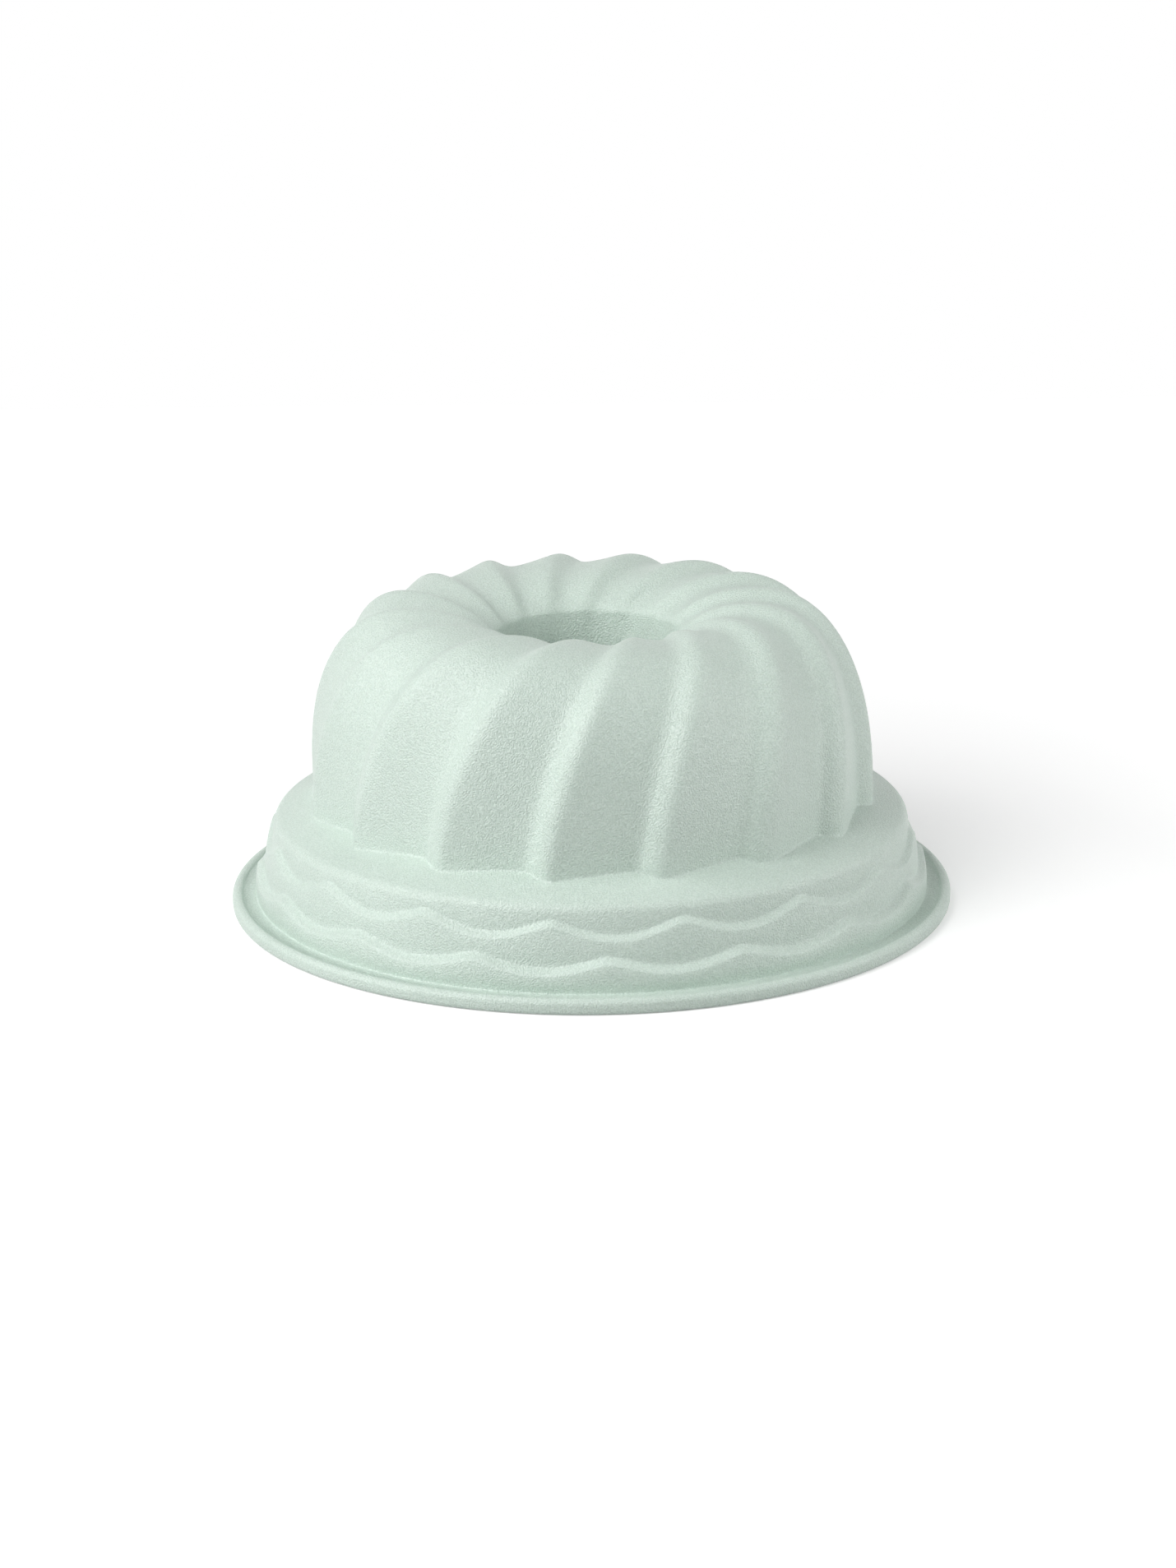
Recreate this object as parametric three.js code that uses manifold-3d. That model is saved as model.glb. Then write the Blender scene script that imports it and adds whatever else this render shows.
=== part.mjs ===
// Swirled ring cake pan in soft silicone, with a steel ring moulded into its rim.
// It stands mouth down on its rim. Millimetres, +Z up, front towards -Y.
// The origin is on the axis at the foot of the rim.
import * as THREE from "three";
import { mergeVertices } from "three/addons/utils/BufferGeometryUtils.js";
import Module from "manifold-3d";

// Silicone thickness of every wall above the rim
const WALL = 2;

// Rim: a thick flange whose edge rises in a low bead with a round top
const RIM_RADIUS = 120;
const FLANGE_THICKNESS = 4.2;
const BEAD_WIDTH = 4;
const BEAD_RISE = 1;
const BEAD_FOOT_ROUNDING = 1.6;

// Steel ring inside the bead, and the holes that the locating pins of the mould tool leave under it
const RING_WIRE_DIAMETER = 2;
const RING_CLEARANCE = 0.3;
const RING_COVER_BELOW = 1.6;
const PIN_HOLE_DIAMETER = 1.6;
const PIN_HOLE_COUNT = 8;

// Skirt: three drafted bands, each standing out from the one above at a wavy ledge
const RIM_OVERHANG = 14.5;
const SKIRT_TOP_HEIGHT = 28;
const SKIRT_DRAFT = 0.1;
const LEDGE_HEIGHT = 2.6;
const CUSP_ROUNDING = 0.15;
const UPPER_WAVE = { belowTop: 2.4, drop: 4.8, out: 1.9, phase: 0.033 };
const LOWER_WAVE = { belowTop: 13.5, drop: 3.7, out: 2.6, phase: 0.462 };

// Shelf: slopes up from the rounded edge of the skirt to the fluted wall
const SHELF_WIDTH = 11.4;
const SHELF_EDGE_RADIUS = 4;
const SHELF_SLOPE = 0.38;

// Fluted wall: a superellipse from the foot of the wall to the top of the crown
const FLUTE_COUNT = 16;
const FLUTE_DEPTH = 4.5;
const RISER_SHARE = 0.24;
const CREST_ANGLE = THREE.MathUtils.degToRad(-7.7);
const WALL_FOOT_RISE = 2.1;
const CROWN_INSET = 35.7;
const CROWN_RISE = 64.3;
const WALL_FULLNESS = 2.27;

// Swirl of the flutes, and the rounding of their crests and valleys as a share of the pitch to either side
const SWIRL = THREE.MathUtils.degToRad(33.3);
const SWIRL_AT_FOOT = 0.3;
const ROUNDING_AT_FOOT = 0.04;
const ROUNDING_AT_THROAT = 0.32;

// Throat: an elliptical funnel from the crown into the centre tube.
// The flutes get shallower on the way down it, to a share of their depth at its end.
const THROAT_REACH = 30.2;
const THROAT_DEPTH = 19.2;
const THROAT_SWEEP = THREE.MathUtils.degToRad(69.6);
const FLUTE_RUN_OUT = 67;
const DEPTH_AT_THROAT = 0.42;

// Centre tube, open at both ends and narrower towards the mouth of the pan; the flutes fade at its top
const FLUTE_FADE = 10;
const TUBE_END_HEIGHT = 8;
const TUBE_DRAFT = 0.07;

// Fineness of the solids
const SKIRT_STEPS_PER_WAVE = 3;
const PANEL_STATIONS = [0, 0.12, 0.36, 0.68];
const OUTER_WALL_STEPS = 12;
const INNER_WALL_STEPS = 8;
const BEAD_STEPS = 4;
const EDGE_STEPS = 2;
const RING_SIDES = 8;
const RING_STEPS = 64;
const ROUNDING_SAMPLES = 12;

const { lerp, smoothstep } = THREE.MathUtils;
const pitch = (2 * Math.PI) / FLUTE_COUNT;
const beadCentreRadius = RIM_RADIUS - BEAD_WIDTH / 2;
const skirtTopRadius = RIM_RADIUS - RIM_OVERHANG;
const wallRadius = skirtTopRadius - SHELF_WIDTH;
const crownRadius = wallRadius - CROWN_INSET;
const draftAngle = Math.atan(SKIRT_DRAFT);
const shelfAngle = Math.atan(SHELF_SLOPE);
const edgeCentre = {
  r: skirtTopRadius - SHELF_EDGE_RADIUS * Math.cos(draftAngle),
  z: SKIRT_TOP_HEIGHT - SHELF_EDGE_RADIUS * Math.sin(draftAngle),
};
const shelfEdge = {
  r: edgeCentre.r + SHELF_EDGE_RADIUS * Math.sin(shelfAngle),
  z: edgeCentre.z + SHELF_EDGE_RADIUS * Math.cos(shelfAngle),
};

// Height of the shelf at a radius, and of its underside
const shelfHeight = (r) => shelfEdge.z + SHELF_SLOPE * (shelfEdge.r - r);
const shelfUnderside = (r) => shelfHeight(r) - WALL * Math.hypot(1, SHELF_SLOPE);
const wallFootHeight = shelfHeight(wallRadius - FLUTE_DEPTH) + WALL_FOOT_RISE;
const crownHeight = wallFootHeight + CROWN_RISE;

// Profile of the flute crests: up the wall, over the crown and down the throat
class CrestProfile extends THREE.Curve {
  getPoint(t, target = new THREE.Vector2()) {
    const wallPart = 0.75;
    if (t < wallPart) {
      const angle = (t / wallPart) * (Math.PI / 2);
      const power = 2 / WALL_FULLNESS;
      const across = Math.max(Math.cos(angle), 0) ** power;
      const up = Math.sin(angle) ** power;
      return target.set(lerp(crownRadius, wallRadius, across), wallFootHeight + CROWN_RISE * up);
    }
    const angle = ((t - wallPart) / (1 - wallPart)) * THROAT_SWEEP;
    return target.set(
      crownRadius - THROAT_REACH * Math.sin(angle),
      crownHeight - THROAT_DEPTH * (1 - Math.cos(angle)),
    );
  }
}
const crest = new CrestProfile();
crest.arcLengthDivisions = 400;
const throatEnd = crest.getPointAt(1);

// A flute with sharp corners at a share of its pitch: 1 on the crest, 0 in the valley.
// A hollow panel falls to the valley, and a steep riser rounds off into the next crest.
function sawTooth(share) {
  const panel = 1 - RISER_SHARE;
  const place = share - Math.floor(share);
  if (place < panel) return 1 - Math.sin(((place / panel) * Math.PI) / 2);
  return Math.sin((((place - panel) / RISER_SHARE) * Math.PI) / 2);
}

// The saw-tooth with corners that get rounder along the way to the throat
function fluteRise(share, way) {
  const rounding = lerp(ROUNDING_AT_FOOT, ROUNDING_AT_THROAT, way);
  let sum = 0;
  let total = 0;
  for (let i = -ROUNDING_SAMPLES; i <= ROUNDING_SAMPLES; i++) {
    const reach = i / ROUNDING_SAMPLES;
    const weight = Math.cos((reach * Math.PI) / 2) ** 2;
    sum += weight * sawTooth(share + reach * rounding);
    total += weight;
  }
  return sum / total;
}

// Point of the fluted skin, sunk below the crests, at a way along the profile and a share of the pitch
function flutePoint(way, flute, share, sunk) {
  const at = crest.getPointAt(way);
  const along = crest.getTangentAt(way);
  const runOut = Math.min((at.x - throatEnd.x) / FLUTE_RUN_OUT, 1);
  const depth = FLUTE_DEPTH * lerp(DEPTH_AT_THROAT, 1, Math.sin((runOut * Math.PI) / 2));
  const sink = sunk + depth * (1 - fluteRise(share, way));
  const swirl = SWIRL * lerp(way * way, way, SWIRL_AT_FOOT);
  return {
    r: at.x - sink * along.y,
    z: at.y + sink * along.x,
    angle: CREST_ANGLE + swirl + (flute + share) * pitch,
  };
}

// Mid height of a wavy ledge at a share of the pitch: broad arcs that hang between rounded cusps
function ledgeHeight(wave, share) {
  const swing = Math.sin(Math.PI * (share - wave.phase));
  const sag = Math.hypot(swing, CUSP_ROUNDING) - CUSP_ROUNDING;
  const fullSag = Math.hypot(1, CUSP_ROUNDING) - CUSP_ROUNDING;
  return SKIRT_TOP_HEIGHT - wave.belowTop - (wave.drop * sag) / fullSag;
}

// Outer radius of the skirt at a height and a share of the pitch
function skirtRadius(z, share) {
  let r = skirtTopRadius + SKIRT_DRAFT * (SKIRT_TOP_HEIGHT - z);
  for (const wave of [UPPER_WAVE, LOWER_WAVE]) {
    const below = ledgeHeight(wave, share) + LEDGE_HEIGHT / 2 - z;
    r += wave.out * smoothstep(below, 0, LEDGE_HEIGHT);
  }
  return r;
}

// Stations round one pitch: on the skirt they meet the cusps of both waves,
// on the wall the crest and the valley
function skirtStations() {
  const turns = [UPPER_WAVE.phase, LOWER_WAVE.phase, UPPER_WAVE.phase + 1];
  const shares = [];
  for (let i = 0; i < 2; i++)
    for (let j = 0; j < SKIRT_STEPS_PER_WAVE; j++)
      shares.push(lerp(turns[i], turns[i + 1], j / SKIRT_STEPS_PER_WAVE));
  return shares;
}
function fluteStations() {
  const panel = 1 - RISER_SHARE;
  return [...PANEL_STATIONS.map((s) => s * panel), panel, panel + RISER_SHARE / 2];
}
const skirtShares = skirtStations();
const fluteShares = fluteStations();

// One ring of points round the pan
function ring(shares, pointAt) {
  const points = [];
  for (let flute = 0; flute < FLUTE_COUNT; flute++) {
    for (const share of shares) {
      const p = pointAt(share, flute);
      const angle = p.angle ?? CREST_ANGLE + (flute + share) * pitch;
      points.push(new THREE.Vector3(p.r * Math.sin(angle), -p.r * Math.cos(angle), p.z));
    }
  }
  return points;
}
const plainRing = (r, z) => ring(skirtShares, () => ({ r, z }));

// Rings of the bead, from its foot over its round top to the flange
function beadRings() {
  const topRadius = BEAD_WIDTH / 2;
  const topCentre = FLANGE_THICKNESS + BEAD_RISE - topRadius;
  const topSweep = Math.PI - Math.asin(1 - BEAD_RISE / topRadius);
  const rings = [
    plainRing(RIM_RADIUS - BEAD_FOOT_ROUNDING, 0),
    plainRing(RIM_RADIUS, BEAD_FOOT_ROUNDING),
  ];
  for (let i = 0; i <= BEAD_STEPS; i++) {
    const angle = (i / BEAD_STEPS) * topSweep;
    const r = beadCentreRadius + topRadius * Math.cos(angle);
    rings.push(plainRing(r, topCentre + topRadius * Math.sin(angle)));
  }
  return rings;
}

// Rings of the skirt from its foot to its top, set in from the outer skin
function skirtRings(foot, inset, ledgeSteps) {
  const at = (heightAt) =>
    ring(skirtShares, (share) => {
      const z = heightAt(share);
      return { r: skirtRadius(z, share) - inset, z };
    });
  const rings = [at(() => foot)];
  for (const wave of [LOWER_WAVE, UPPER_WAVE])
    for (let i = 0; i <= ledgeSteps; i++)
      rings.push(at((share) => ledgeHeight(wave, share) + LEDGE_HEIGHT * (i / ledgeSteps - 0.5)));
  return rings;
}

// Rings of the rounded shelf edge, from the skirt to the shelf
function edgeRings(radius) {
  const rings = [];
  for (let i = 0; i <= EDGE_STEPS; i++) {
    const angle = lerp(Math.PI / 2 - draftAngle, shelfAngle, i / EDGE_STEPS);
    rings.push(plainRing(edgeCentre.r + radius * Math.sin(angle), edgeCentre.z + radius * Math.cos(angle)));
  }
  return rings;
}

// Rings of the fluted skin from the shelf to the end of the throat
function fluteRings(sunk, steps, shelfAt) {
  const rings = [
    ring(fluteShares, (share) => {
      const r = wallRadius - sunk - FLUTE_DEPTH * (1 - fluteRise(share, 0));
      return { r, z: shelfAt(r) };
    }),
  ];
  for (let i = 0; i <= steps; i++)
    rings.push(ring(fluteShares, (share, flute) => flutePoint(i / steps, flute, share, sunk)));
  return rings;
}

// Rings of the round centre tube at its top and its lip, turned with the end of the swirl
function tubeRings(inset) {
  return [throatEnd.y - FLUTE_FADE, TUBE_END_HEIGHT].map((z) => {
    const r = throatEnd.x - TUBE_DRAFT * (throatEnd.y - z) + inset;
    return ring(fluteShares, (share, flute) => ({
      r,
      z,
      angle: CREST_ANGLE + SWIRL + (flute + share) * pitch,
    }));
  });
}

// Closed skin through rings that run round the section of the wall
function skinThrough(rings) {
  const columns = rings[0].length;
  const corners = [];
  rings.forEach((lower, i) => {
    const upper = rings[(i + 1) % rings.length];
    for (let j = 0; j < columns; j++) {
      const next = (j + 1) % columns;
      corners.push(lower[j], lower[next], upper[j], upper[j], lower[next], upper[next]);
    }
  });
  return new THREE.BufferGeometry().setFromPoints(corners);
}

const wasm = await Module();
wasm.setup();

// Geometry to solid and back, for cuts
function solidOf(geometry) {
  const bare = new THREE.BufferGeometry().setAttribute("position", geometry.getAttribute("position"));
  const merged = mergeVertices(bare.setIndex(geometry.getIndex()), 1e-3);
  const vertProperties = merged.getAttribute("position").array;
  const triVerts = new Uint32Array(merged.getIndex().array);
  return new wasm.Manifold(new wasm.Mesh({ numProp: 3, vertProperties, triVerts }));
}
function geometryOf(solid) {
  const { vertProperties, triVerts } = solid.getMesh();
  return new THREE.BufferGeometry()
    .setAttribute("position", new THREE.BufferAttribute(vertProperties, 3))
    .setIndex(new THREE.BufferAttribute(triVerts, 1));
}

// Ring of round section in the middle of the bead
const ringHeight = RING_COVER_BELOW + RING_WIRE_DIAMETER / 2;
function beadTorus(sectionRadius) {
  const torus = new THREE.TorusGeometry(beadCentreRadius, sectionRadius, RING_SIDES, RING_STEPS);
  return torus.translate(0, 0, ringHeight);
}

// Silicone moulding: one skin, with the seat of the steel ring and the pin holes cut out of its rim
function mouldingGeometry() {
  const outer = [
    ...beadRings(),
    ...skirtRings(FLANGE_THICKNESS, 0, 2),
    ...edgeRings(SHELF_EDGE_RADIUS),
    ...fluteRings(0, OUTER_WALL_STEPS, shelfHeight),
    ...tubeRings(0),
  ];
  const inner = [
    ...skirtRings(0, WALL, 1),
    ...edgeRings(SHELF_EDGE_RADIUS - WALL),
    ...fluteRings(WALL, INNER_WALL_STEPS, shelfUnderside),
    ...tubeRings(WALL),
  ];
  let solid = solidOf(skinThrough([...outer, ...inner.reverse()]));
  solid = solid.subtract(solidOf(beadTorus(RING_WIRE_DIAMETER / 2 + RING_CLEARANCE)));
  const holeRadius = PIN_HOLE_DIAMETER / 2;
  for (let i = 0; i < PIN_HOLE_COUNT; i++) {
    const angle = ((i + 0.5) / PIN_HOLE_COUNT) * 2 * Math.PI;
    const hole = new THREE.CylinderGeometry(holeRadius, holeRadius, 2 * ringHeight, RING_SIDES)
      .rotateX(Math.PI / 2)
      .translate(beadCentreRadius * Math.cos(angle), beadCentreRadius * Math.sin(angle), 0);
    solid = solid.subtract(solidOf(hole));
  }
  return geometryOf(solid);
}

const silicone = new THREE.MeshStandardMaterial({ color: 0xcbdcd2, roughness: 0.6, metalness: 0 });
const steel = new THREE.MeshStandardMaterial({ color: 0xb8bcc0, roughness: 0.35, metalness: 1 });

function namedMesh(name, geometry, material) {
  const mesh = new THREE.Mesh(geometry, material);
  mesh.name = name;
  return mesh;
}

const group = new THREE.Group();
group.add(
  namedMesh("silicone_moulding", mouldingGeometry(), silicone),
  namedMesh("rim_ring", beadTorus(RING_WIRE_DIAMETER / 2), steel),
);

export default group;
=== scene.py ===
"""Swirled silicone ring cake pan that stands mouth down on a pale floor. Metres, +Z up, front towards -Y."""
import math

import bpy
import numpy as np
from mathutils import Euler, Matrix, Vector


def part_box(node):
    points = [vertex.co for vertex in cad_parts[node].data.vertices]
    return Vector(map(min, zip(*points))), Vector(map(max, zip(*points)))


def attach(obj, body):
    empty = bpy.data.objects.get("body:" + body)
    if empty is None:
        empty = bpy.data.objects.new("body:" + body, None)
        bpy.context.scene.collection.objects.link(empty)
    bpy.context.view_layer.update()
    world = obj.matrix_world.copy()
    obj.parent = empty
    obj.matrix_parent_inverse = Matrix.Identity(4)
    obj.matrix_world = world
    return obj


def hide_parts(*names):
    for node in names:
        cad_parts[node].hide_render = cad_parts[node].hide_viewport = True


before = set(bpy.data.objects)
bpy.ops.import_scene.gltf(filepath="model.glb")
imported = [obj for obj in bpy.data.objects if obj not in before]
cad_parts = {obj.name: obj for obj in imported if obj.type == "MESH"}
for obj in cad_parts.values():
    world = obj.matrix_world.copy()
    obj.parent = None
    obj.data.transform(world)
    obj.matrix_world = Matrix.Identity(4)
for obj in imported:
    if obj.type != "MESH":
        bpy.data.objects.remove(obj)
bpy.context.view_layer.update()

MM = 0.001
DEGREE = math.pi / 180
MOULDING = "silicone_moulding"
RING = "rim_ring"
cad_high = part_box(MOULDING)[1]

# Silicone thickness
WALL = 2 * MM

# Rim
RIM_RADIUS = cad_high.x
FLANGE_THICKNESS = 4.2 * MM
BEAD_WIDTH = 4 * MM
BEAD_RISE = 1 * MM
BEAD_FOOT_ROUNDING = 1.6 * MM
SKIRT_FILLET = 0.5 * MM
MOUTH_ROUNDING = 0.6 * MM

# Skirt with its two wavy ledges
RIM_OVERHANG = 14.5 * MM
SKIRT_TOP_HEIGHT = 28 * MM
SKIRT_DRAFT = 0.1
BAND_CURVE = 0.12
SKIRT_TUCK = 0.6 * MM
LEDGE_HEIGHT = 2.6 * MM
CUSP_ROUNDING = 0.15
UPPER_WAVE = {"below_top": 2.4 * MM, "drop": 4.8 * MM, "out": 1.9 * MM, "phase": 0.033}
LOWER_WAVE = {"below_top": 13.5 * MM, "drop": 3.7 * MM, "out": 2.6 * MM, "phase": 0.462}

# Shelf
SHELF_WIDTH = 11.4 * MM
SHELF_EDGE_RADIUS = 4 * MM
SHELF_SLOPE = 0.38
BASE_FILLET = 0.7 * MM

# Fluted wall and crown
FLUTE_COUNT = 16
FLUTE_DEPTH = 4.5 * MM
RISER_SHARE = 0.24
CREST_ANGLE = -7.7 * DEGREE
WALL_FOOT_RISE = 2.1 * MM
CROWN_INSET = 35.7 * MM
CROWN_RISE = 64.3 * MM
WALL_FULLNESS = 2.27
SWIRL = 33.3 * DEGREE
SWIRL_AT_FOOT = 0.3
ROUNDING_AT_FOOT = 0.04
ROUNDING_AT_THROAT = 0.32

# Throat and centre tube
THROAT_REACH = 30.2 * MM
THROAT_DEPTH = 19.2 * MM
THROAT_SWEEP = 69.6 * DEGREE
THROAT_FILLET = 0.8 * MM
FLUTE_RUN_OUT = 67 * MM
DEPTH_AT_THROAT = 0.42
EDGE_FADE = 8 * MM
EDGE_EASE = 0.6
FLUTE_FADE = 10 * MM
TUBE_END_HEIGHT = 8 * MM
TUBE_DRAFT = 0.07

# Camera: the lens works on the long side of the picture
PHOTO_HEIGHT_PX = 1907
FOCAL_PX = 5130.8
SENSOR = 36
CAMERA_TARGET = Vector((-0.84 * MM, 0, 38.42 * MM))
CAMERA_DISTANCE = 1405.2 * MM
CAMERA_ELEVATION = 16.952 * DEGREE
CAMERA_ROLL = -0.563 * DEGREE

# Floor just below the foot of the rim, so that the two don't share a plane
FLOOR_HALF = 0.8
FLOOR_GAP = 0.05 * MM
FLOOR_BOUNCE = 0.6
FLOOR_WHITE = 0.9
FLOOR_GLOW_NEAR = 0.37
FLOOR_GLOW_FAR = 0.7

# Soft boxes round the pan, and the even light of the room
LIGHT_SIZE = 0.9
LIGHT_DISTANCE = 1.4
ROOM_LIGHT = 0.07

# Silicone: the colour of its grain's tops, a darker colour painted into the pits as shade, and its grain
PAINTED_PIT_SHADE_COLOUR = (0.555, 0.662, 0.593, 1)
TOP_COLOUR = (0.695, 0.801, 0.733, 1)
GRAIN_SCALE = 2000
GRAIN_DEPTH = 0.28 * MM
SCATTER_DEPTH = 1.5 * MM

# Fineness of the moulding
PANEL_STEPS = 15
RISER_STEPS = 7
FLUTE_ROWS = 76
INNER_FLUTE_ROWS = 40


def smoothstep(x):
    t = np.clip(x, 0, 1)
    return t * t * (3 - 2 * t)


# Columns of the moulding: shares of one flute's pitch, closer together at the crest and on the riser
pitch = 2 * math.pi / FLUTE_COUNT
panel_share = 1 - RISER_SHARE
panel_shares = panel_share * np.linspace(0, 1, PANEL_STEPS, endpoint=False) ** 1.25
riser_shares = np.linspace(panel_share, 1, RISER_STEPS, endpoint=False)
shares = np.tile(np.concatenate([panel_shares, riser_shares]), FLUTE_COUNT)
columns = len(shares)
flutes = np.repeat(np.arange(FLUTE_COUNT), columns // FLUTE_COUNT)
foot_angles = CREST_ANGLE + (flutes + shares) * pitch

# Derived places
bead_centre = RIM_RADIUS - BEAD_WIDTH / 2
skirt_top_radius = RIM_RADIUS - RIM_OVERHANG
wall_radius = skirt_top_radius - SHELF_WIDTH
crown_radius = wall_radius - CROWN_INSET
draft_angle = math.atan(SKIRT_DRAFT)
shelf_angle = math.atan(SHELF_SLOPE)
edge_centre_r = skirt_top_radius - SHELF_EDGE_RADIUS * math.cos(draft_angle)
edge_centre_z = SKIRT_TOP_HEIGHT - SHELF_EDGE_RADIUS * math.sin(draft_angle)
shelf_edge_r = edge_centre_r + SHELF_EDGE_RADIUS * math.sin(shelf_angle)
shelf_edge_z = edge_centre_z + SHELF_EDGE_RADIUS * math.cos(shelf_angle)


def shelf_height(r):
    return shelf_edge_z + SHELF_SLOPE * (shelf_edge_r - r)


wall_foot_height = shelf_height(wall_radius - FLUTE_DEPTH) + WALL_FOOT_RISE
crown_height = wall_foot_height + CROWN_RISE


def crest_profile():
    """Even steps along the crest profile: up the wall, over the crown and down the throat."""
    turn = np.linspace(0, math.pi / 2, 600)
    across = np.maximum(np.cos(turn), 0) ** (2 / WALL_FULLNESS)
    up = np.sin(turn) ** (2 / WALL_FULLNESS)
    sweep = np.linspace(0, THROAT_SWEEP, 200)[1:]
    r = np.concatenate([
        crown_radius + CROWN_INSET * across,
        crown_radius - THROAT_REACH * np.sin(sweep),
    ])
    z = np.concatenate([
        wall_foot_height + CROWN_RISE * up,
        crown_height - THROAT_DEPTH * (1 - np.cos(sweep)),
    ])
    way = np.concatenate([[0], np.cumsum(np.hypot(np.diff(r), np.diff(z)))])
    even = np.linspace(0, 1, 800)
    return way[-1], even, np.interp(even, way / way[-1], r), np.interp(even, way / way[-1], z)


crest_length, crest_way, crest_r, crest_z = crest_profile()
crest_dr = np.gradient(crest_r)
crest_dz = np.gradient(crest_z)
crest_step = np.hypot(crest_dr, crest_dz)


def saw_tooth(share):
    """1 on the crest, 0 in the valley: a hollow panel, then a steep riser that rounds into the next crest."""
    share = share % 1
    panel = 1 - np.sin(share / panel_share * math.pi / 2)
    riser = np.sin((share - panel_share) / RISER_SHARE * math.pi / 2)
    return np.where(share < panel_share, panel, riser)


def flute_rise(way):
    """The saw-tooth at each column, with corners that get rounder along the way to the throat."""
    rounding = ROUNDING_AT_FOOT + (ROUNDING_AT_THROAT - ROUNDING_AT_FOOT) * way
    reach = np.linspace(-1, 1, 41)
    weight = np.cos(reach * math.pi / 2) ** 2
    spread = saw_tooth(shares[:, None] + reach * rounding)
    return (spread * weight).sum(1) / weight.sum()


foot_sink = FLUTE_DEPTH * (1 - flute_rise(0))


def ledge_height(wave):
    """Mid height of a wavy ledge at each column: broad arcs that hang between rounded cusps."""
    swing = np.sin(math.pi * (shares - wave["phase"]))
    sag = np.hypot(swing, CUSP_ROUNDING) - CUSP_ROUNDING
    full_sag = math.hypot(1, CUSP_ROUNDING) - CUSP_ROUNDING
    return SKIRT_TOP_HEIGHT - wave["below_top"] - wave["drop"] * sag / full_sag


ledges = [(ledge_height(wave), wave["out"]) for wave in (LOWER_WAVE, UPPER_WAVE)]


def skirt_radius(z):
    r = skirt_top_radius + SKIRT_DRAFT * (SKIRT_TOP_HEIGHT - z)
    for mid, out in ledges:
        r = r + out * smoothstep((mid + LEDGE_HEIGHT / 2 - z) / LEDGE_HEIGHT)
    lowest = ledges[0][0] - LEDGE_HEIGHT / 2
    return r - SKIRT_TUCK * np.clip((lowest - z) / (lowest - FLANGE_THICKNESS), 0, 1) ** 2


def row(r, z, angles=None):
    """One ring of points from radii and heights, plain or given at each column."""
    angles = foot_angles if angles is None else angles
    r = np.broadcast_to(r, (columns,))
    z = np.broadcast_to(z, (columns,))
    return np.stack([r * np.sin(angles), -r * np.cos(angles), z], axis=1)


def arc_rows(centre_r, centre_z, radius, start, end, steps):
    """Rings along an arc of the section: angles in degrees, 0 outwards and 90 up."""
    angles = np.linspace(start, end, steps + 1) * DEGREE
    return [row(centre_r + radius * math.cos(a), centre_z + radius * math.sin(a)) for a in angles]


def bend(start, corner, end, t):
    """A point on the way round a corner: 0 at the start, 1 at the end."""
    return (1 - t) ** 2 * start + 2 * t * (1 - t) * corner + t**2 * end


def bend_rows(start, corner, end, steps):
    """Rings along a rounded corner of the section; each of the points is a pair of radius and height."""
    rows = []
    for t in np.linspace(0, 1, steps + 1):
        r, z = (bend(a, b, c, t) for a, b, c in zip(start, corner, end))
        rows.append(row(r, z))
    return rows


def bead_rows():
    """Rings from the foot of the bead over its round top to the crease on the flange."""
    top_radius = BEAD_WIDTH / 2
    top_sweep = 180 - math.degrees(math.asin(1 - BEAD_RISE / top_radius))
    top_z = FLANGE_THICKNESS + BEAD_RISE - top_radius
    foot = arc_rows(RIM_RADIUS - BEAD_FOOT_ROUNDING, BEAD_FOOT_ROUNDING, BEAD_FOOT_ROUNDING, -90, 0, 5)
    return foot + arc_rows(bead_centre, top_z, top_radius, 0, top_sweep, 16)


def skirt_rows(foot_z, inset, steps):
    """Rings up the skirt, over bands that bulge a little; steps counts those of each band and ledge."""
    half = LEDGE_HEIGHT / 2
    knots = [np.full(columns, foot_z)]
    for mid, _ in ledges:
        knots += [mid - half, mid + half]
    knots.append(np.full(columns, SKIRT_TOP_HEIGHT))
    rows = []
    for index, (low, high, count) in enumerate(zip(knots, knots[1:], steps)):
        curve = 0 if index % 2 else BAND_CURVE * (high - low)
        for t in np.arange(count) / count:
            z = low + (high - low) * t
            rows.append(row(skirt_radius(z) + curve * t * (1 - t) - inset, z))
    return rows


def edge_rows(radius, steps):
    return arc_rows(edge_centre_r, edge_centre_z, radius, math.degrees(draft_angle),
                    90 - math.degrees(shelf_angle), steps)


def flute_row(way, sunk):
    """A ring of the fluted skin at a way along the crest profile, sunk below the crests."""
    curves = (crest_r, crest_z, crest_dr, crest_dz, crest_step)
    r, z, dr, dz, step = (np.interp(way, crest_way, curve) for curve in curves)
    run_out = min((r - crest_r[-1]) / FLUTE_RUN_OUT, 1)
    depth = FLUTE_DEPTH * (DEPTH_AT_THROAT + (1 - DEPTH_AT_THROAT) * math.sin(run_out * math.pi / 2))
    depth *= 1 - EDGE_EASE * smoothstep(1 - (1 - way) * crest_length / EDGE_FADE)
    sink = sunk + depth * (1 - flute_rise(way))
    swirl = SWIRL * (SWIRL_AT_FOOT * way + (1 - SWIRL_AT_FOOT) * way * way)
    return row(r - sink * dz / step, z + sink * dr / step, foot_angles + swirl)


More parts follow.
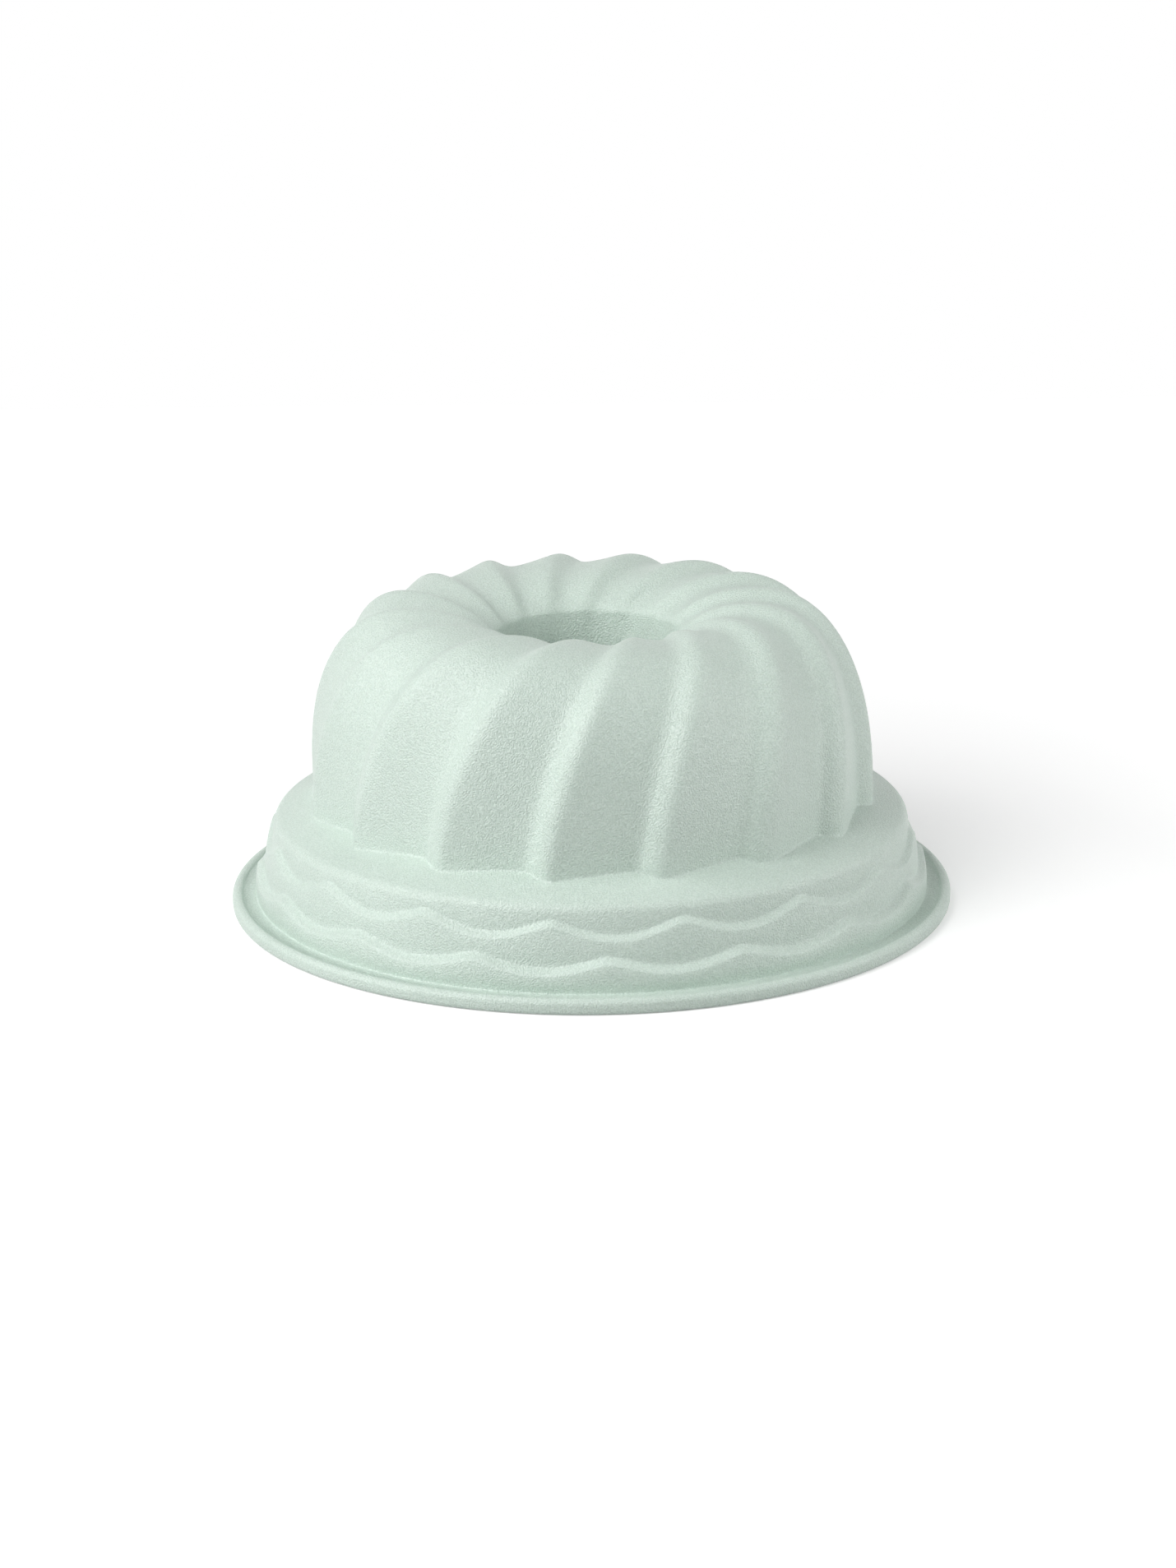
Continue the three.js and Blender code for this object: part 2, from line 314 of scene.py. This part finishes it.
def outer_rows():
    """The skin that shows: from the foot of the bead to the lip of the centre tube."""
    foot_z = FLANGE_THICKNESS + SKIRT_FILLET
    foot_r = skirt_radius(np.full(columns, foot_z))
    rows = bead_rows()
    flange_end = (foot_r + SKIRT_FILLET, FLANGE_THICKNESS)
    rows += bend_rows(flange_end, (foot_r, FLANGE_THICKNESS), (foot_r, foot_z), 6)[:-1]
    rows += skirt_rows(foot_z, 0, (5, 10, 7, 10, 5))
    rows += edge_rows(SHELF_EDGE_RADIUS, 8)
    base_r = wall_radius - foot_sink
    base_z = shelf_height(base_r)
    lead = BASE_FILLET / math.hypot(1, SHELF_SLOPE)
    for t in np.linspace(0, 1, 14)[1:-1]:
        r = shelf_edge_r + (base_r + lead - shelf_edge_r) * t
        rows.append(row(r, shelf_height(r)))
    shelf_end = (base_r + lead, shelf_height(base_r + lead))
    rows += bend_rows(shelf_end, (base_r, base_z), (base_r, base_z + BASE_FILLET), 5)
    for t in (0.33, 0.67):
        rows.append(row(base_r, base_z + BASE_FILLET + (wall_foot_height - base_z - BASE_FILLET) * t))
    rows += [flute_row(way, 0) for way in np.linspace(0, 1, FLUTE_ROWS)[:-1]]
    return rows


def blend_rows(start, end, ways):
    """Rings on the straight way from one ring to another: 0 at the start, 1 at the end."""
    return [start + (end - start) * way for way in ways]


def tube_rows():
    """Centre tube: down from the fluted throat, round the lip and up again on the side of the cake."""
    angles = foot_angles + SWIRL
    top_r, top_z = crest_r[-1] - TUBE_DRAFT * FLUTE_FADE, crest_z[-1] - FLUTE_FADE
    lip_r = crest_r[-1] - TUBE_DRAFT * (crest_z[-1] - TUBE_END_HEIGHT)
    lip_z = TUBE_END_HEIGHT + WALL / 2
    before = flute_row(1 - THROAT_FILLET / crest_length, 0)
    corner = flute_row(1, 0)
    top = row(top_r, top_z, angles)
    after = corner + (top - corner) * THROAT_FILLET / FLUTE_FADE
    rows = [bend(before, corner, after, t) for t in np.linspace(0, 1, 6)]
    rows += blend_rows(after, top, np.linspace(0, 1, 5)[1:-1])
    rows += blend_rows(top, row(lip_r, lip_z, angles), np.linspace(0, 1, 9))
    for a in np.linspace(180, 360, 9)[1:-1] * DEGREE:
        rows.append(row(lip_r + WALL / 2 * (1 + math.cos(a)), lip_z + WALL / 2 * math.sin(a), angles))
    inner_top = row(top_r + WALL, top_z, angles)
    rows += blend_rows(row(lip_r + WALL, lip_z, angles), inner_top, np.linspace(0, 1, 9))
    rows += blend_rows(inner_top, flute_row(1, WALL), np.linspace(0, 1, 4)[1:-1])
    return rows


def inner_rows():
    """The skin on the side of the cake, from the mouth of the pan up to the throat."""
    mouth_r = skirt_radius(np.zeros(columns)) - WALL
    rows = bend_rows((mouth_r + MOUTH_ROUNDING, 0), (mouth_r, 0), (mouth_r, MOUTH_ROUNDING), 3)
    rows += skirt_rows(2 * MOUTH_ROUNDING, WALL, (4, 5, 4, 5, 3))
    rows += edge_rows(SHELF_EDGE_RADIUS - WALL, 4)
    base_r = wall_radius - WALL - foot_sink
    for t in np.linspace(0, 1, 8)[1:]:
        r = shelf_edge_r - WALL * math.sin(shelf_angle) * (1 - t) + (base_r - shelf_edge_r) * t
        rows.append(row(r, shelf_height(r) - WALL * math.hypot(1, SHELF_SLOPE)))
    rows += [flute_row(way, WALL) for way in np.linspace(0, 1, INNER_FLUTE_ROWS)]
    return rows


def closed_skin(name, rows):
    """A mesh through rings that run round the section of the wall and back to the first."""
    points = np.concatenate(rows)
    count = len(rows)
    ring_at = np.arange(count)[:, None] * columns
    next_ring = (np.arange(1, count + 1) % count)[:, None] * columns
    column = np.arange(columns)[None, :]
    next_column = (column + 1) % columns
    corners = [ring_at + column, ring_at + next_column, next_ring + next_column, next_ring + column]
    faces = np.stack(corners, axis=2)
    mesh = bpy.data.meshes.new(name)
    mesh.from_pydata(points.tolist(), [], faces.reshape(-1, 4).tolist())
    mesh.polygons.foreach_set("use_smooth", np.ones(len(mesh.polygons), dtype=bool))
    mesh.update()
    piece = bpy.data.objects.new(name, mesh)
    bpy.context.scene.collection.objects.link(piece)
    return piece


def node_tree(material):
    material.use_nodes = True
    tree = material.node_tree
    return tree, tree.nodes["Principled BSDF"]


def object_noise(tree, scale, detail):
    """3-D noise in the object's own space."""
    place = tree.nodes.new("ShaderNodeTexCoord")
    noise = tree.nodes.new("ShaderNodeTexNoise")
    noise.inputs["Scale"].default_value = scale
    noise.inputs["Detail"].default_value = detail
    tree.links.new(place.outputs["Object"], noise.inputs["Vector"])
    return noise.outputs["Fac"]


def map_range(tree, value, low, high, to_low, to_high):
    node = tree.nodes.new("ShaderNodeMapRange")
    for name, number in (("From Min", low), ("From Max", high), ("To Min", to_low), ("To Max", to_high)):
        node.inputs[name].default_value = number
    tree.links.new(value, node.inputs["Value"])
    return node.outputs["Result"]


def silicone_material():
    """Matte pale green silicone with a fine leathery grain and a faint random tone; shade is painted into the
    pits of the grain as a darker colour.
    """
    material = bpy.data.materials.new("silicone")
    tree, shader = node_tree(material)
    grain = object_noise(tree, GRAIN_SCALE, 0)
    # Colour mix: a faint random tone from the coarse noise, plus painted shade that darkens the pits of the
    # grain
    tone_and_pit_shade = tree.nodes.new("ShaderNodeMath")
    tone_and_pit_shade.operation = "ADD"
    tree.links.new(map_range(tree, object_noise(tree, 30, 3), 0.3, 0.7, 0, 0.2), tone_and_pit_shade.inputs[0])
    tree.links.new(map_range(tree, grain, 0.3, 0.7, 0, 0.8), tone_and_pit_shade.inputs[1])
    tint = tree.nodes.new("ShaderNodeMix")
    tint.data_type = "RGBA"
    tint.inputs["A"].default_value = PAINTED_PIT_SHADE_COLOUR
    tint.inputs["B"].default_value = TOP_COLOUR
    tree.links.new(tone_and_pit_shade.outputs["Value"], tint.inputs["Factor"])
    tree.links.new(tint.outputs["Result"], shader.inputs["Base Color"])
    sheen_noise = object_noise(tree, 120, 2)
    tree.links.new(map_range(tree, sheen_noise, 0.3, 0.7, 0.34, 0.42), shader.inputs["Roughness"])
    shader.inputs["Specular IOR Level"].default_value = 0.5
    shader.inputs["Subsurface Weight"].default_value = 0.15
    shader.inputs["Subsurface Radius"].default_value = (1.0, 1.0, 0.9)
    shader.inputs["Subsurface Scale"].default_value = SCATTER_DEPTH
    bump = tree.nodes.new("ShaderNodeBump")
    bump.inputs["Strength"].default_value = 1
    bump.inputs["Distance"].default_value = GRAIN_DEPTH
    tree.links.new(grain, bump.inputs["Height"])
    tree.links.new(bump.outputs["Normal"], shader.inputs["Normal"])
    return material


def steel_material():
    """Drawn stainless wire."""
    material = bpy.data.materials.new("steel")
    tree, shader = node_tree(material)
    shader.inputs["Base Color"].default_value = (0.56, 0.57, 0.58, 1)
    shader.inputs["Metallic"].default_value = 1
    scratches = object_noise(tree, 900, 4)
    tree.links.new(map_range(tree, scratches, 0.3, 0.7, 0.25, 0.45), shader.inputs["Roughness"])
    return material


def floor_material():
    """White floor that keeps the pan's shadow; part of its white is seen by the camera only."""
    material = bpy.data.materials.new("floor")
    material.use_nodes = True
    tree = material.node_tree
    tree.nodes.clear()
    output = tree.nodes.new("ShaderNodeOutputMaterial")
    matte = tree.nodes.new("ShaderNodeBsdfDiffuse")
    direct = seen_directly(tree)
    tree.links.new(map_range(tree, direct, 0, 1, FLOOR_BOUNCE, FLOOR_WHITE), matte.inputs["Color"])
    place = tree.nodes.new("ShaderNodeTexCoord")
    distance = tree.nodes.new("ShaderNodeVectorMath")
    distance.operation = "LENGTH"
    tree.links.new(place.outputs["Object"], distance.inputs[0])
    level = map_range(tree, distance.outputs["Value"], 0.2, 0.6, FLOOR_GLOW_NEAR, FLOOR_GLOW_FAR)
    strength = tree.nodes.new("ShaderNodeMath")
    strength.operation = "MULTIPLY"
    tree.links.new(level, strength.inputs[0])
    tree.links.new(direct, strength.inputs[1])
    glow = tree.nodes.new("ShaderNodeEmission")
    tree.links.new(strength.outputs["Value"], glow.inputs["Strength"])
    both = tree.nodes.new("ShaderNodeAddShader")
    tree.links.new(matte.outputs["BSDF"], both.inputs[0])
    tree.links.new(glow.outputs["Emission"], both.inputs[1])
    tree.links.new(both.outputs["Shader"], output.inputs["Surface"])
    return material


def seen_directly(tree):
    """1 for camera, glossy and transmission rays, and 0 for the light that falls on the pan."""
    path = tree.nodes.new("ShaderNodeLightPath")
    total = path.outputs["Is Camera Ray"]
    for name in ("Is Glossy Ray", "Is Transmission Ray"):
        larger = tree.nodes.new("ShaderNodeMath")
        larger.operation = "MAXIMUM"
        tree.links.new(total, larger.inputs[0])
        tree.links.new(path.outputs[name], larger.inputs[1])
        total = larger.outputs["Value"]
    return total


def make_floor():
    mesh = bpy.data.meshes.new("floor")
    corners = [(x * FLOOR_HALF, y * FLOOR_HALF, 0) for x, y in ((-1, -1), (1, -1), (1, 1), (-1, 1))]
    mesh.from_pydata(corners, [], [(0, 1, 2, 3)])
    floor = bpy.data.objects.new("floor", mesh)
    floor.location.z = -FLOOR_GAP
    floor.data.materials.append(floor_material())
    bpy.context.scene.collection.objects.link(floor)


def make_world():
    """White to the camera, a softer even light to the pan."""
    world = bpy.data.worlds.new("studio")
    bpy.context.scene.world = world
    world.use_nodes = True
    tree = world.node_tree
    background = tree.nodes["Background"]
    background.inputs["Color"].default_value = (1, 1, 1, 1)
    lift = tree.nodes.new("ShaderNodeMath")
    lift.operation = "MAXIMUM"
    lift.inputs[1].default_value = ROOM_LIGHT
    tree.links.new(seen_directly(tree), lift.inputs[0])
    tree.links.new(lift.outputs["Value"], background.inputs["Strength"])


def soft_box(name, turn, elevation, power):
    """A square area light that faces the pan; the turn counts from the front to the right, in degrees."""
    lamp = bpy.data.lights.new(name, "AREA")
    lamp.size = LIGHT_SIZE
    lamp.energy = power
    light = bpy.data.objects.new(name, lamp)
    place = Euler((-elevation * DEGREE, 0, turn * DEGREE)).to_matrix() @ Vector((0, -LIGHT_DISTANCE, 0))
    light.location = place
    aim = Vector((0, 0, crown_height / 2)) - place
    light.rotation_euler = aim.to_track_quat("-Z", "Y").to_euler()
    bpy.context.scene.collection.objects.link(light)


def make_lights():
    soft_box("key_side", -80, 20, 4.3)
    soft_box("key_high", -60, 55, 8)
    soft_box("key_front", -38, 35, 8.2)
    soft_box("fill_low", 84, 15, 9.4)
    soft_box("fill_high", 90, 60, 1.2)


def make_camera():
    lens = bpy.data.cameras.new("camera")
    lens.sensor_width = SENSOR
    lens.lens = FOCAL_PX * SENSOR / PHOTO_HEIGHT_PX
    camera = bpy.data.objects.new("camera", lens)
    back = Vector((0, -math.cos(CAMERA_ELEVATION), math.sin(CAMERA_ELEVATION)))
    camera.location = CAMERA_TARGET + back * CAMERA_DISTANCE
    tilt = Euler((math.pi / 2 - CAMERA_ELEVATION, 0, 0)).to_matrix()
    camera.rotation_euler = (tilt @ Matrix.Rotation(CAMERA_ROLL, 3, "Z")).to_euler()
    bpy.context.scene.collection.objects.link(camera)
    bpy.context.scene.camera = camera


def make_moulding():
    piece = closed_skin("moulding", outer_rows() + tube_rows() + inner_rows()[::-1])
    piece.data.materials.append(silicone_material())
    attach(piece, "root")
    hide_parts(MOULDING)


def finish_ring():
    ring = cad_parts[RING]
    ring.data.materials.clear()
    ring.data.materials.append(steel_material())


make_camera()
make_world()
make_lights()
make_floor()
make_moulding()
finish_ring()
bpy.context.scene.view_settings.view_transform = "Standard"
